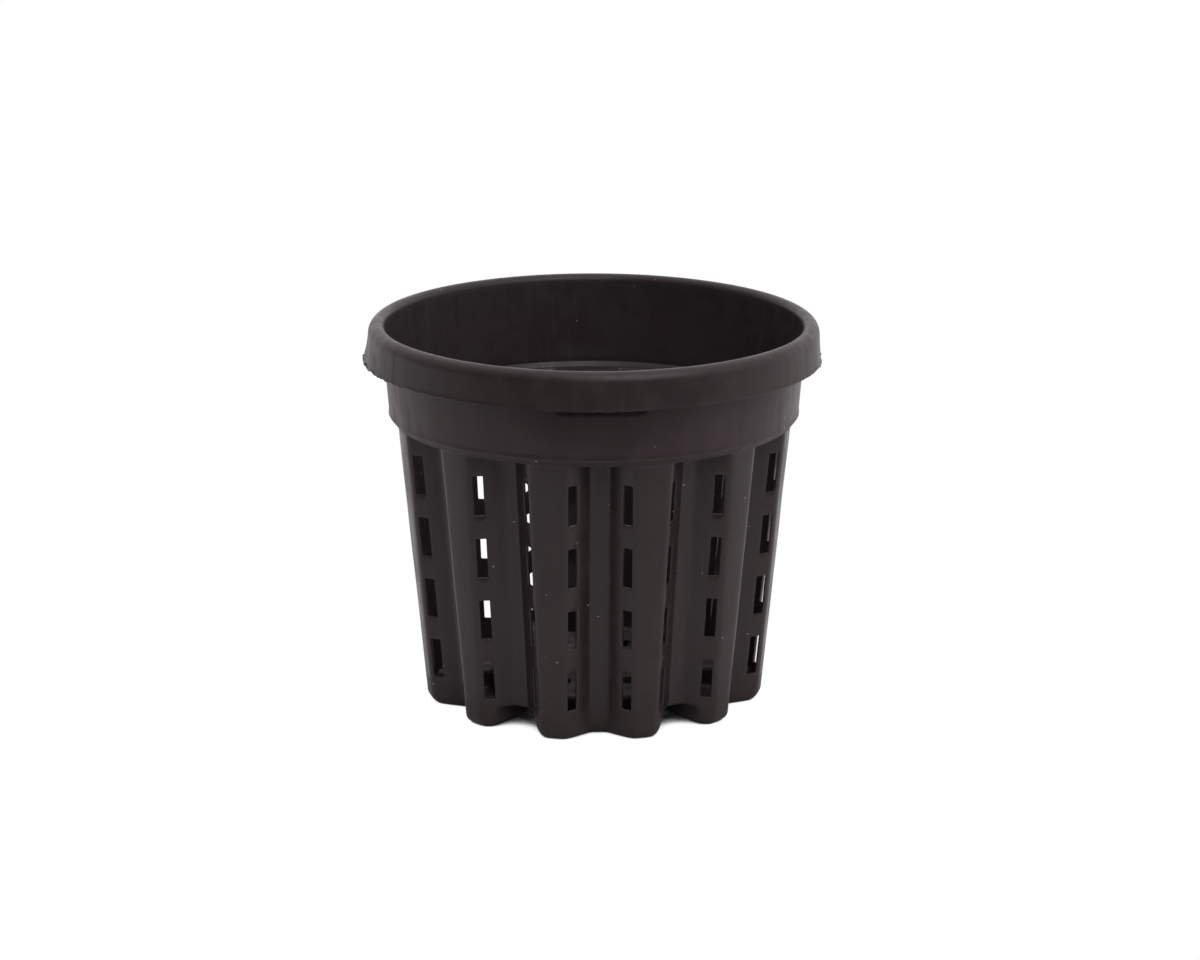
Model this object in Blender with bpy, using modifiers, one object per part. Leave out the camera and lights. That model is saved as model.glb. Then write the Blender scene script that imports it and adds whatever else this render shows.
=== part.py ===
"""Air pruning pot: a round, tapered, fluted nursery pot with air slots, moulded in black polypropylene.

Metres, +Z up. The origin is on the ground, under the centre of the pot, and a foot faces -Y.
The moulding is divided along its own lines into a rim, a collar, a ledge, flutes, feet and a floor,
which are held together as one rigid pot with a narrow seam between them.
"""
import math

import bmesh
import bpy

# The whole pot
FEET = 6
POT_HEIGHT = 0.1885
RIM_RADIUS = 0.1100
WALL = 0.0012
SEAM = 0.0003

# Rolled rim with its hanging lip, and the smooth collar under it
RIM_ROLL_RADIUS = 0.0035
LIP_DEPTH = 0.0193
LIP_DRAFT = 0.0005
LIP_OVERHANG = 0.0075
COLLAR_HEIGHT = 0.0259
COLLAR_DRAFT = math.radians(4.3)

# Flutes, measured across one lobe from its crown to the valley beside it
LEDGE_OVERHANG = 0.0029
FLUTE_DRAFT = math.radians(5.2)
FLUTE_DEPTH = 0.0117
FLANK_ANGLE = math.radians(46.0)
SHOULDER_RADIUS = 0.0047
VALLEY_FILLET = 0.0040
VALLEY_HALF_WIDTH = 0.0026

# Air slots, one column on each flank
SLOT_WIDTH = 0.0050
SLOT_HEIGHT = 0.0197
SLOT_WEB = 0.0118
SLOT_SILL = 0.0043
SLOT_HEAD = 0.0100

# Hollow feet with drain arches between them, and the raised floor
FOOT_HEIGHT = 0.0103
FOOT_FILLET = 0.0045
FOOT_CHANNEL = 0.0220
ARCH_WIDTH = 0.0205
DRAIN_HOLE_RADIUS = 0.0050
DRAIN_HOLE_INSET = 0.0186

# How finely round shapes are divided
ROUND_STEPS_PER_FLUTE = 5
ROLL_STEPS = 6
ARC_STEPS = 2
FOOT_EDGE_STEPS = 5
DRAIN_HOLE_STEPS = 20

# Levels and radii that follow from the sizes above
FLUTES = 2 * FEET
FLUTE_ANGLE = 2.0 * math.pi / FLUTES
ROUND_STEPS = FLUTES * ROUND_STEPS_PER_FLUTE
LIP_Z = POT_HEIGHT - LIP_DEPTH
LEDGE_Z = LIP_Z - COLLAR_HEIGHT
LEDGE_TOP_Z = LEDGE_Z + WALL
FLUTE_TOP_Z = LEDGE_Z - SEAM
FLUTE_BASE_Z = FOOT_HEIGHT + SEAM
COLLAR_TOP_Z = LIP_Z + WALL
COLLAR_TOP_RADIUS = RIM_RADIUS - LIP_OVERHANG
COLLAR_BASE_RADIUS = COLLAR_TOP_RADIUS - COLLAR_HEIGHT * math.tan(COLLAR_DRAFT)
CROWN_TOP_RADIUS = COLLAR_BASE_RADIUS - LEDGE_OVERHANG
CROWN_BASE_RADIUS = CROWN_TOP_RADIUS - LEDGE_Z * math.tan(FLUTE_DRAFT)
VALLEY_BASE_RADIUS = CROWN_BASE_RADIUS - FLUTE_DEPTH
FOOT_INNER_RADIUS = VALLEY_BASE_RADIUS - FOOT_CHANNEL
FLOOR_RADIUS = FOOT_INNER_RADIUS + WALL
DRAIN_CIRCLE_RADIUS = FLOOR_RADIUS - DRAIN_HOLE_INSET
FRONT = -math.pi / 2.0

# The section of half a flute at mid height: crown, shoulder, slanting flank, fillet and flat valley
MID_RADIUS = (CROWN_TOP_RADIUS + CROWN_BASE_RADIUS - FLUTE_DEPTH) / 2.0
BEND_DEPTH = (SHOULDER_RADIUS + VALLEY_FILLET) * (1.0 - math.cos(FLANK_ANGLE))
BEND_WIDTH = (SHOULDER_RADIUS + VALLEY_FILLET) * math.sin(FLANK_ANGLE)
FLANK_LENGTH = (FLUTE_DEPTH - BEND_DEPTH) / math.sin(FLANK_ANGLE)
FLANK_WIDTH = FLANK_LENGTH * math.cos(FLANK_ANGLE)
CROWN_HALF_WIDTH = MID_RADIUS * FLUTE_ANGLE / 2.0 - VALLEY_HALF_WIDTH - BEND_WIDTH - FLANK_WIDTH
SHOULDER_END = CROWN_HALF_WIDTH + SHOULDER_RADIUS * FLANK_ANGLE
FLANK_END = SHOULDER_END + FLANK_LENGTH
FILLET_END = FLANK_END + VALLEY_FILLET * FLANK_ANGLE
SECTION_END = FILLET_END + VALLEY_HALF_WIDTH
SLOT_END = SHOULDER_END + SLOT_WIDTH


def clamp(value, low, high):
    return max(low, min(high, value))


def spaced(start, end, steps):
    """Evenly spaced values from start to end, both included."""
    return [start + (end - start) * step / steps for step in range(steps + 1)]


def section(distance, z):
    """Angle from a lobe's centre, and depth below its crown, at a distance along the section.

    The valleys keep their width all the way up, and the crowns take up what the cone gains.
    """
    shoulder = clamp(distance - CROWN_HALF_WIDTH, 0.0, SHOULDER_END - CROWN_HALF_WIDTH) / SHOULDER_RADIUS
    flank = clamp(distance - SHOULDER_END, 0.0, FLANK_LENGTH)
    fillet = clamp(distance - FLANK_END, 0.0, FILLET_END - FLANK_END) / VALLEY_FILLET
    across = min(distance, CROWN_HALF_WIDTH) + max(0.0, distance - FILLET_END)
    across += SHOULDER_RADIUS * math.sin(shoulder)
    across += flank * math.cos(FLANK_ANGLE)
    across += VALLEY_FILLET * (math.sin(FLANK_ANGLE) - math.sin(FLANK_ANGLE - fillet))
    depth = SHOULDER_RADIUS * (1.0 - math.cos(shoulder))
    depth += flank * math.sin(FLANK_ANGLE)
    depth += VALLEY_FILLET * (math.cos(FLANK_ANGLE - fillet) - math.cos(FLANK_ANGLE))
    middle = crown_radius(z) - FLUTE_DEPTH / 2.0
    gain = (middle - MID_RADIUS) * FLUTE_ANGLE / 2.0
    across += gain * min(1.0, distance / CROWN_HALF_WIDTH)
    return across / middle, depth


def section_stations():
    """Distances along half a section where the wall needs an edge, from the crown's end to the valley."""
    stations = spaced(CROWN_HALF_WIDTH, SHOULDER_END, ARC_STEPS)
    stations += [SLOT_END, FLANK_END]
    stations += spaced(FLANK_END, FILLET_END, ARC_STEPS)
    stations += [SECTION_END]
    return sorted({round(station, 7) for station in stations})


def crown_radius(z):
    return CROWN_BASE_RADIUS + z * math.tan(FLUTE_DRAFT)


def wall_point(distance, z, inset=0.0):
    """Point on the outside of a lobe that faces +X. A negative distance is on its other half."""
    angle, depth = section(abs(distance), z)
    angle = math.copysign(angle, distance)
    radius = crown_radius(z) - depth - inset
    return radius * math.cos(angle), radius * math.sin(angle)


def inner_wall_point(distance, z, clearance=0.0):
    """Point one wall, and a clearance, inside wall_point, measured square to the wall."""
    step = 0.00001
    x, y = wall_point(distance, z)
    before_x, before_y = wall_point(distance - step, z)
    after_x, after_y = wall_point(distance + step, z)
    along_x = after_x - before_x
    along_y = after_y - before_y
    move = (WALL + clearance) / math.hypot(along_x, along_y)
    return x - along_y * move, y + along_x * move


def turned(point, angle):
    """A point turned about the pot's axis."""
    x, y = point
    return x * math.cos(angle) - y * math.sin(angle), x * math.sin(angle) + y * math.cos(angle)


def distance_beside_arch(offset, outline):
    """Distance along a lobe's section where an outline is offset from the middle of the arch beside it."""
    near, far = 0.0, SECTION_END
    for _ in range(50):
        middle = (near + far) / 2.0
        if turned(outline(middle), -FLUTE_ANGLE / 2.0)[1] < -offset:
            near = middle
        else:
            far = middle
    return near


def plastic(name, colour, roughness):
    """Black moulded polypropylene with a little of the sheen that each area shows."""
    material = bpy.data.materials.new(name)
    material.use_nodes = True
    shader = material.node_tree.nodes["Principled BSDF"]
    shader.inputs["Base Color"].default_value = (*colour, 1.0)
    shader.inputs["Roughness"].default_value = roughness
    shader.inputs["Metallic"].default_value = 0.0
    return material


def place(name, data, material, collection, parent, angle=0.0):
    """A named node of the pot, turned about the pot's axis."""
    if not data.materials:
        data.materials.append(material)
    node = bpy.data.objects.new(name, data)
    node.rotation_euler = (0.0, 0.0, angle)
    node.parent = parent
    collection.objects.link(node)
    return node


def add_shell(node):
    """Gives an open outer surface its wall thickness, inwards."""
    shell = node.modifiers.new("wall", "SOLIDIFY")
    shell.thickness = WALL
    shell.offset = -1.0
    shell.use_even_offset = True
    shell.use_rim = True


def turned_ring(name, profile, material, collection, parent):
    """A ring turned from a closed profile of (radius, height) points, which runs down its outer side."""
    mesh = bpy.data.meshes.new(name)
    count = len(profile)
    edges = [(index, (index + 1) % count) for index in range(count)]
    mesh.from_pydata([(radius, 0.0, height) for radius, height in profile], edges, [])
    node = place(name, mesh, material, collection, parent, FRONT)
    screw = node.modifiers.new("turn", "SCREW")
    screw.axis = "Z"
    screw.angle = 2.0 * math.pi
    screw.steps = ROUND_STEPS
    screw.render_steps = ROUND_STEPS
    screw.use_merge_vertices = True
    screw.merge_threshold = 0.00001
    screw.use_smooth_shade = True
    return node


def plate(name, outline, holes, z, material, collection, parent):
    """A flat plate one wall thick, with its underside at z."""
    curve = bpy.data.curves.new(name, "CURVE")
    curve.dimensions = "2D"
    curve.fill_mode = "BOTH"
    curve.extrude = WALL / 2.0
    for points in [outline] + holes:
        spline = curve.splines.new("POLY")
        spline.points.add(len(points) - 1)
        spline.use_cyclic_u = True
        for target, (x, y) in zip(spline.points, points):
            target.co = (x, y, 0.0, 1.0)
    node = place(name, curve, material, collection, parent)
    node.location.z = z + WALL / 2.0
    return node


def circle(radius, steps, centre=(0.0, 0.0), start=0.0):
    angles = [start + 2.0 * math.pi * step / steps for step in range(steps)]
    return [(centre[0] + radius * math.cos(a), centre[1] + radius * math.sin(a)) for a in angles]


def make_rim(material, collection, parent):
    """The rolled rim: an inner leg that goes on from the collar, a roll and a lip that hangs outside."""
    roll_radius = RIM_RADIUS - RIM_ROLL_RADIUS
    roll_z = POT_HEIGHT - RIM_ROLL_RADIUS
    leg_z = COLLAR_TOP_Z + SEAM
    leg_radius = COLLAR_TOP_RADIUS + (leg_z - LIP_Z) * math.tan(COLLAR_DRAFT)
    lip_radius = RIM_RADIUS - LIP_DRAFT

    def arc(radius, start, end):
        angles = spaced(start, end, ROLL_STEPS)
        return [(roll_radius + radius * math.cos(a), roll_z + radius * math.sin(a)) for a in angles]

    profile = [(leg_radius - WALL, leg_z)]
    profile += arc(RIM_ROLL_RADIUS, math.pi, 0.0)
    profile += [(lip_radius, LIP_Z), (lip_radius - WALL, LIP_Z)]
    profile += arc(RIM_ROLL_RADIUS - WALL, 0.0, math.pi)
    profile += [(leg_radius, leg_z)]
    turned_ring("rim_lip", profile, material, collection, parent)


def make_collar(material, collection, parent):
    """The smooth conical band between the lip and the ledge."""
    base_z = LEDGE_TOP_Z + SEAM
    base_radius = COLLAR_BASE_RADIUS + (base_z - LEDGE_Z) * math.tan(COLLAR_DRAFT)
    top_radius = COLLAR_TOP_RADIUS + (COLLAR_TOP_Z - LIP_Z) * math.tan(COLLAR_DRAFT)
    profile = [
        (top_radius - WALL, COLLAR_TOP_Z),
        (top_radius, COLLAR_TOP_Z),
        (base_radius, base_z),
        (base_radius - WALL, base_z),
    ]
    turned_ring("collar_band", profile, material, collection, parent)


def make_ledge(material, collection, parent):
    """The scalloped shelf that steps in from the collar to the inside of the flutes."""
    stations = section_stations()
    lobe = [-station for station in reversed(stations)] + stations[:-1]
    inner = []
    for index in range(FLUTES):
        angle = FRONT + (index + 0.5) * FLUTE_ANGLE
        inner += [turned(inner_wall_point(distance, LEDGE_Z), angle) for distance in lobe]
    outer = circle(COLLAR_BASE_RADIUS, ROUND_STEPS, start=FRONT)
    plate("ledge_ring", outer, [inner], LEDGE_Z, material, collection, parent)


def slot_levels():
    """Lower and upper edge of each slot in a column, as many as fit under the ledge."""
    room = FLUTE_TOP_Z - SLOT_HEAD - FLUTE_BASE_Z - SLOT_SILL - SLOT_HEIGHT
    pitch = SLOT_HEIGHT + SLOT_WEB
    sills = [FLUTE_BASE_Z + SLOT_SILL + row * pitch for row in range(int(room / pitch) + 1)]
    return [(sill, sill + SLOT_HEIGHT) for sill in sills]


def flute_mesh():
    """The outer surface of one flute that faces +X, from valley to valley, open at its slots."""
    stations = section_stations()
    columns = [-station for station in reversed(stations)] + stations
    slots = slot_levels()
    rows = [FLUTE_BASE_Z] + [level for slot in slots for level in slot] + [FLUTE_TOP_Z]
    seam_angle = SEAM / 2.0 / (VALLEY_BASE_RADIUS - WALL)
    widest = FLUTE_ANGLE / 2.0 - seam_angle
    across = len(columns) - 1
    up = len(rows) - 1
    flute = bmesh.new()
    bmesh.ops.create_grid(flute, x_segments=across, y_segments=up, size=0.5)
    cells = {}
    for face in flute.faces:
        centre = face.calc_center_median()
        cells[face] = (int((centre.x + 0.5) * across), int((centre.y + 0.5) * up))
    for vert in flute.verts:
        distance = columns[round((vert.co.x + 0.5) * across)]
        z = rows[round((vert.co.y + 0.5) * up)]
        x, y = wall_point(distance, z)
        radius = math.hypot(x, y)
        angle = clamp(math.atan2(y, x), -widest, widest)
        vert.co = (radius * math.cos(angle), radius * math.sin(angle), z)
    openings = []
    for face, (column, row) in cells.items():
        nearest = min(abs(columns[column]), abs(columns[column + 1]))
        furthest = max(abs(columns[column]), abs(columns[column + 1]))
        on_flank = nearest > SHOULDER_END - SEAM and furthest < SLOT_END + SEAM
        if on_flank and row % 2 == 1:
            openings.append(face)
    bmesh.ops.delete(flute, geom=openings, context="FACES")
    bmesh.ops.recalc_face_normals(flute, faces=flute.faces)
    mesh = bpy.data.meshes.new("flute")
    flute.to_mesh(mesh)
    flute.free()
    return mesh


def make_flutes(material, collection, parent):
    mesh = flute_mesh()
    for index in range(FLUTES):
        angle = FRONT + (index + 0.5) * FLUTE_ANGLE
        add_shell(place(f"flute_{index + 1:02d}", mesh, material, collection, parent, angle))


def foot_outline(z, inset):
    """Outline of a foot whose middle valley faces +X: two lobes, two arch sides and the inner arc."""
    arch_side = ARCH_WIDTH / 2.0 + inset
    edge = distance_beside_arch(arch_side, lambda distance: wall_point(distance, z, inset))
    half = [-station for station in reversed(section_stations())]
    half += spaced(0.0, edge, FOOT_EDGE_STEPS)[1:]
    outer = [turned(wall_point(distance, z, inset), FLUTE_ANGLE / 2.0) for distance in half]
    inner_radius = FOOT_INNER_RADIUS + inset
    inner_angle = FLUTE_ANGLE - math.asin(arch_side / inner_radius)
    inner_angles = spaced(inner_angle, -inner_angle, FOOT_EDGE_STEPS)
    inner = [(inner_radius * math.cos(a), inner_radius * math.sin(a)) for a in inner_angles]
    mirrored = [(x, -y) for x, y in reversed(outer[1:])]
    return mirrored + outer + inner


def foot_mesh():
    """The outer surface of a foot, open at its top, with a rounded edge round its sole."""
    fillet = min(FOOT_FILLET, 0.8 * FOOT_HEIGHT)
    levels = []
    for angle in spaced(0.0, math.pi / 2.0, ARC_STEPS + 1):
        levels.append((fillet * (1.0 - math.cos(angle)), fillet * (1.0 - math.sin(angle))))
    levels.append((FOOT_HEIGHT, 0.0))
    foot = bmesh.new()
    sole_z, sole_inset = levels[0]
    loop = [foot.verts.new((x, y, sole_z)) for x, y in foot_outline(sole_z, sole_inset)]
    sole = foot.faces.new(list(reversed(loop)))
    edges = list(sole.edges)
    for z, inset in levels[1:]:
        above = dict(zip(loop, foot_outline(z, inset)))
        made = bmesh.ops.extrude_edge_only(foot, edges=edges)["geom"]
        edges = [item for item in made if isinstance(item, bmesh.types.BMEdge)]
        risen = {}
        for vert in (item for item in made if isinstance(item, bmesh.types.BMVert)):
            below = next(edge.other_vert(vert) for edge in vert.link_edges if edge.other_vert(vert) in above)
            risen[below] = vert
            vert.co = (*above[below], z)
        loop = [risen[vert] for vert in loop]
    bmesh.ops.recalc_face_normals(foot, faces=foot.faces)
    mesh = bpy.data.meshes.new("foot")
    foot.to_mesh(mesh)
    foot.free()
    return mesh


def make_feet(material, collection, parent):
    mesh = foot_mesh()
    for index in range(FEET):
        angle = FRONT + index * 2.0 * FLUTE_ANGLE
        add_shell(place(f"foot_{index + 1:02d}", mesh, material, collection, parent, angle))


def make_floor(material, collection, parent):
    """The raised floor: a disc with a bridge over each arch, and a drain hole in line with each arch."""
    bridge_side = ARCH_WIDTH / 2.0 + WALL

    def bridge_end(distance):
        return inner_wall_point(distance, FLUTE_BASE_Z, SEAM)

    edge = distance_beside_arch(bridge_side, bridge_end)
    stations = spaced(edge, SECTION_END, 2 * ARC_STEPS + 1)
    half_end = [turned(bridge_end(distance), -FLUTE_ANGLE / 2.0) for distance in stations]
    end = half_end + [(x, -y) for x, y in reversed(half_end[:-1])]
    corner = math.asin(bridge_side / FLOOR_RADIUS)
    disc_angles = spaced(corner, 2.0 * FLUTE_ANGLE - corner, ROUND_STEPS_PER_FLUTE)
    disc = [(FLOOR_RADIUS * math.cos(a), FLOOR_RADIUS * math.sin(a)) for a in disc_angles]
    outline = []
    holes = []
    for index in range(FEET):
        angle = FRONT + (2 * index + 1) * FLUTE_ANGLE
        outline += [turned(point, angle) for point in end + disc]
        centre = turned((DRAIN_CIRCLE_RADIUS, 0.0), angle)
        holes.append(circle(DRAIN_HOLE_RADIUS, DRAIN_HOLE_STEPS, centre, angle))
    plate("drain_floor", outline, holes, FLUTE_BASE_Z, material, collection, parent)


def clear_scene():
    for item in list(bpy.data.objects):
        bpy.data.objects.remove(item, do_unlink=True)


def main():
    clear_scene()
    pot = bpy.data.collections.new("air_pruning_pot")
    bpy.context.scene.collection.children.link(pot)
    origin = bpy.data.objects.new("pot_origin", None)
    pot.objects.link(origin)
    make_rim(plastic("rim_plastic", (0.030, 0.028, 0.029), 0.48), pot, origin)
    make_collar(plastic("collar_plastic", (0.021, 0.019, 0.020), 0.55), pot, origin)
    make_ledge(plastic("ledge_plastic", (0.021, 0.019, 0.020), 0.58), pot, origin)
    make_flutes(plastic("flute_plastic", (0.024, 0.022, 0.023), 0.52), pot, origin)
    make_feet(plastic("foot_plastic", (0.022, 0.020, 0.021), 0.55), pot, origin)
    make_floor(plastic("floor_plastic", (0.018, 0.017, 0.018), 0.60), pot, origin)


main()
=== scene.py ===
"""Looks of the air pruning pot: a one-piece moulding in recycled black polypropylene.

The outer skin of the whole moulding is laid out as one sheet on a sixth of the pot, from the floor out
over a foot, up the fluted wall, the collar and the rolled rim. It is copied round the axis, divided into
rim, collar, wall and base, and each of them gets the wall thickness and rounded edges of the real pot.
Metres, +Z up, in the frame of the solids. A foot faces -Y, the side that the camera looks at.
"""
import math

import bpy
from mathutils import Euler, Matrix, Vector, noise


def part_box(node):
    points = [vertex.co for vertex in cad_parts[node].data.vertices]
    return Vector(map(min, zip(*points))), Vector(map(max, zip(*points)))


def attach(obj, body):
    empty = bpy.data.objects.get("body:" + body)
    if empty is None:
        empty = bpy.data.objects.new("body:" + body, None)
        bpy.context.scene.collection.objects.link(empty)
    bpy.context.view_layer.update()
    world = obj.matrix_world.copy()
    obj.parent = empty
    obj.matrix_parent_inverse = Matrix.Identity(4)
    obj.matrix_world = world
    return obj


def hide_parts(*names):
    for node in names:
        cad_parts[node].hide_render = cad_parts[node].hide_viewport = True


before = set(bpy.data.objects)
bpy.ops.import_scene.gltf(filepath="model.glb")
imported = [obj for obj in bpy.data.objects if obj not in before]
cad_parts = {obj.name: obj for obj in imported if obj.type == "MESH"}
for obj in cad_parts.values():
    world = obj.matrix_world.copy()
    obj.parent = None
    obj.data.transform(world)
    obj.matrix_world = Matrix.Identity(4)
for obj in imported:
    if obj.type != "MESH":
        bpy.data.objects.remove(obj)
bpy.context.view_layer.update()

MM = 0.001

# Sizes read from the frame
RIM_LOW, RIM_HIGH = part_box("rim_lip")
COLLAR_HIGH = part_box("collar_band")[1]
LEDGE_LOW, LEDGE_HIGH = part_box("ledge_ring")
FLOOR_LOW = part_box("drain_floor")[0]
FEET = sum(name.startswith("foot_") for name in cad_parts)
FLUTES = sum(name.startswith("flute_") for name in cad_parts)
POT_HEIGHT = RIM_HIGH.z
RIM_RADIUS = RIM_HIGH.x
LIP_Z = RIM_LOW.z
LEDGE_Z = LEDGE_LOW.z
WALL = LEDGE_HIGH.z - LEDGE_LOW.z
COLLAR_BASE_RADIUS = LEDGE_HIGH.x
COLLAR_SLOPE = (COLLAR_HIGH.x - COLLAR_BASE_RADIUS) / (COLLAR_HIGH.z - LEDGE_Z)
FLOOR_Z = FLOOR_LOW.z

# Sizes that the solids share, which their boxes don't give
LEDGE_OVERHANG = 2.9 * MM
FLUTE_SLOPE = math.tan(math.radians(5.2))
FLUTE_DEPTH = 11.7 * MM
FLANK_ANGLE = math.radians(46.0)
SHOULDER_RADIUS = 4.7 * MM
VALLEY_FILLET = 4.0 * MM
VALLEY_HALF_WIDTH = 2.6 * MM
SLOT_WIDTH = 5.0 * MM
SLOT_HEIGHT = 19.7 * MM
SLOT_WEB = 11.8 * MM
SLOT_SILL = 4.3 * MM
SLOT_ROWS = 4
FOOT_FILLET = 4.5 * MM
FOOT_CHANNEL = 22.0 * MM
ARCH_HALF_WIDTH = 10.25 * MM
DRAIN_HOLE_RADIUS = 5.0 * MM
DRAIN_CIRCLE_RADIUS = 33.5 * MM

# Small roundings of the moulding
FLOOR_FILLET = 2.5 * MM
FOOT_SIDE_DRAFT = 0.25 * MM
ARCH_TOP_FILLET = 1.5 * MM
LEDGE_FILLET = 0.6 * MM
COLLAR_CORNER = 0.5 * MM
COLLAR_TUCK = 3.2 * MM
COLLAR_FLARE = 0.4 * MM
COLLAR_EDGE_RISES = (0.0, 0.7 * MM, 1.4 * MM, 2.1 * MM)
TUCK_GAP = 0.1 * MM
LIP_FLARE = 0.4 * MM
LIP_BURR = 0.3 * MM
BURR_START = 0.94
RIM_STRAIGHT = 2.0 * MM
RIM_BULGE = 0.3 * MM
RIM_SHOULDER_WIDTH = 4.7 * MM
RIM_SHOULDER_HEIGHT = 5.6 * MM
RIM_INNER_ROUND = 3.3 * MM
EDGE_ROUNDING = 0.4 * MM
SHARP_ANGLE = math.radians(60.0)
SMOOTH_ANGLE = math.radians(35.0)

# How the thin moulding warps as it cools: its wall waves, and its rim sags, most of all in front
WARP_SIZE = 30.0 * MM
WARP_DEPTH = 0.20 * MM
RIM_SAG = 0.3 * MM
RIM_LEAN = 0.8 * MM

# Where the lip is bent out and ragged with flash: angle from the front, spread, how far out it is bent,
# and how deep the flash is
FLASH_SIZE = 1.7 * MM
FLASH_BIAS = 0.4
BEND_POWER = 1.5
LIP_BENDS = (
    (math.radians(-94.0), math.radians(19.0), 2.2 * MM, 2.0 * MM),
    (math.radians(88.0), math.radians(15.0), 0.5 * MM, 2.0 * MM),
    (math.radians(-60.0), math.radians(24.0), 0.2 * MM, 0.6 * MM),
    (math.radians(0.0), math.radians(13.0), 0.5 * MM, 0.3 * MM),
)

# Levels and radii that follow
FLUTE_ANGLE = 2.0 * math.pi / FLUTES
FOOT_ANGLE = 2.0 * math.pi / FEET
FRONT = -math.pi / 2.0
CROWN_TOP_RADIUS = COLLAR_BASE_RADIUS - LEDGE_OVERHANG
CROWN_BASE_RADIUS = CROWN_TOP_RADIUS - LEDGE_Z * FLUTE_SLOPE
VALLEY_BASE_RADIUS = CROWN_BASE_RADIUS - FLUTE_DEPTH
FOOT_INNER_RADIUS = VALLEY_BASE_RADIUS - FOOT_CHANNEL
ARCH_RADIUS = VALLEY_BASE_RADIUS + 4.0 * MM
FLOOR_FILL_RADIUS = FOOT_INNER_RADIUS - 6.0 * MM
FLOOR_EDGE_RADIUS = FOOT_INNER_RADIUS - 3.5 * MM
BASE_SEAM_Z = FLOOR_Z + 2.3 * MM
ROOF_Z = LEDGE_Z - COLLAR_TUCK
COLLAR_SEAM_Z = ROOF_Z - 2.0 * MM
RIM_SEAM_Z = COLLAR_HIGH.z
RIM_TOP_Z = POT_HEIGHT - RIM_SAG
LIP_TOP_Z = RIM_TOP_Z - RIM_SHOULDER_HEIGHT
LIP_RADIUS = RIM_RADIUS + RIM_BULGE
RIDGE_RADIUS = LIP_RADIUS - RIM_SHOULDER_WIDTH
RIM_LEG_RADIUS = RIDGE_RADIUS - RIM_INNER_ROUND + WALL

# The section of half a flute at mid height: crown, shoulder, slanting flank, fillet and flat valley
MID_RADIUS = (CROWN_TOP_RADIUS + VALLEY_BASE_RADIUS) / 2.0
BEND_DEPTH = (SHOULDER_RADIUS + VALLEY_FILLET) * (1.0 - math.cos(FLANK_ANGLE))
BEND_WIDTH = (SHOULDER_RADIUS + VALLEY_FILLET) * math.sin(FLANK_ANGLE)
FLANK_LENGTH = (FLUTE_DEPTH - BEND_DEPTH) / math.sin(FLANK_ANGLE)
FLANK_WIDTH = FLANK_LENGTH * math.cos(FLANK_ANGLE)
CROWN_HALF_WIDTH = MID_RADIUS * FLUTE_ANGLE / 2.0 - VALLEY_HALF_WIDTH - BEND_WIDTH - FLANK_WIDTH
SHOULDER_END = CROWN_HALF_WIDTH + SHOULDER_RADIUS * FLANK_ANGLE
SLOT_END = SHOULDER_END + SLOT_WIDTH
FLANK_END = SHOULDER_END + FLANK_LENGTH
FILLET_END = FLANK_END + VALLEY_FILLET * FLANK_ANGLE
SECTION_END = FILLET_END + VALLEY_HALF_WIDTH

# How finely the sheet is divided, and how exactly its places are told apart
CROWN_STEPS = 2
SHOULDER_STEPS = 4
SLOT_STEPS = 5
FLANK_STEPS = 4
FILLET_STEPS = 3
VALLEY_STEPS = 2
SLOT_RISE_STEPS = 4
WEB_STEPS = 3
FLOOR_FILLET_STEPS = 3
FOOT_FILLET_STEPS = 4
SOLE_EDGE_STEPS = 5
LEDGE_FILLET_STEPS = 3
COLLAR_STEPS = 6
RIDGE_STEPS = 4
RIM_SHOULDER_STEPS = 9
LIP_STEPS = 6
DRAIN_HOLE_STEPS = 40
EDGE_SEGMENTS = 2
HALVINGS = 40
WELD_DISTANCE = 0.02 * MM
PLACE_MARGIN = 0.1 * MM
SEAM_MARGIN = 0.4 * MM
LIP_EDGE_SHARE = 0.99

# Marks of the plastic's surface, in real sizes. The mould's own grain is finer than half a millimetre, and is
# drawn that coarse so that it shows
CLOUD_SIZE = 17.0 * MM
FLOW_WIDTH = 5.0 * MM
FLOW_LENGTH = 60.0 * MM
SMEAR_WIDTH = 2.5 * MM
SMEAR_LENGTH = 40.0 * MM
SMEAR_SLANT = math.radians(35.0)
GRAIN_SIZE = 0.5 * MM
GRAIN_DEPTH = 0.05 * MM
DUST_SPACING = 5.0 * MM
DUST_RADIUS = 0.38 * MM
# Painted shadow under the front of the lip, and fainter painted shade on the collar below it
SHADOW_STRIP_HALF_WIDTH = 21.0 * MM
SHADOW_STRIP_END_FADE = 4.0 * MM
SHADOW_STRIP_DEPTH = 4.4 * MM
FRONT_SHADE_HALF_WIDTH = 45.0 * MM

# Where the painted shadow under the lip and the painted shade below it fade: heights from the strip's lower
# edge, the ledge and the lip, and then places along Y
STRIP_FADE = (-1.4 * MM, 1.2 * MM)
FRONT_SHADE_FADE = (-1.0 * MM, 12.0 * MM)
LIP_FADE = (-1.6 * MM, -1.0 * MM)
FRONT_FADE = (-80.0 * MM, -50.0 * MM)

# How strongly they show. Each range gives the part of a noise or a slope that a mark takes up, and then,
# where it is the same for all pieces, its share of the colour or its change of the roughness
CLOUD_TINT = (0.34, 0.66, 0.35, 0.65)
CLOUD_RUBBING = (0.40, 0.70, 0.25, 0.65)
CLOUD_FINISH = (0.32, 0.66)
FLOW_FINISH = (0.35, 0.65, -0.03, 0.03)
SMEAR_TINT = (0.58, 0.80, 0.0, 0.5)
SMEAR_FINISH = (0.55, 0.75, 0.0, 0.10)
INSIDE = (-0.01, 0.01, 1.0, 0.0)
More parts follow.
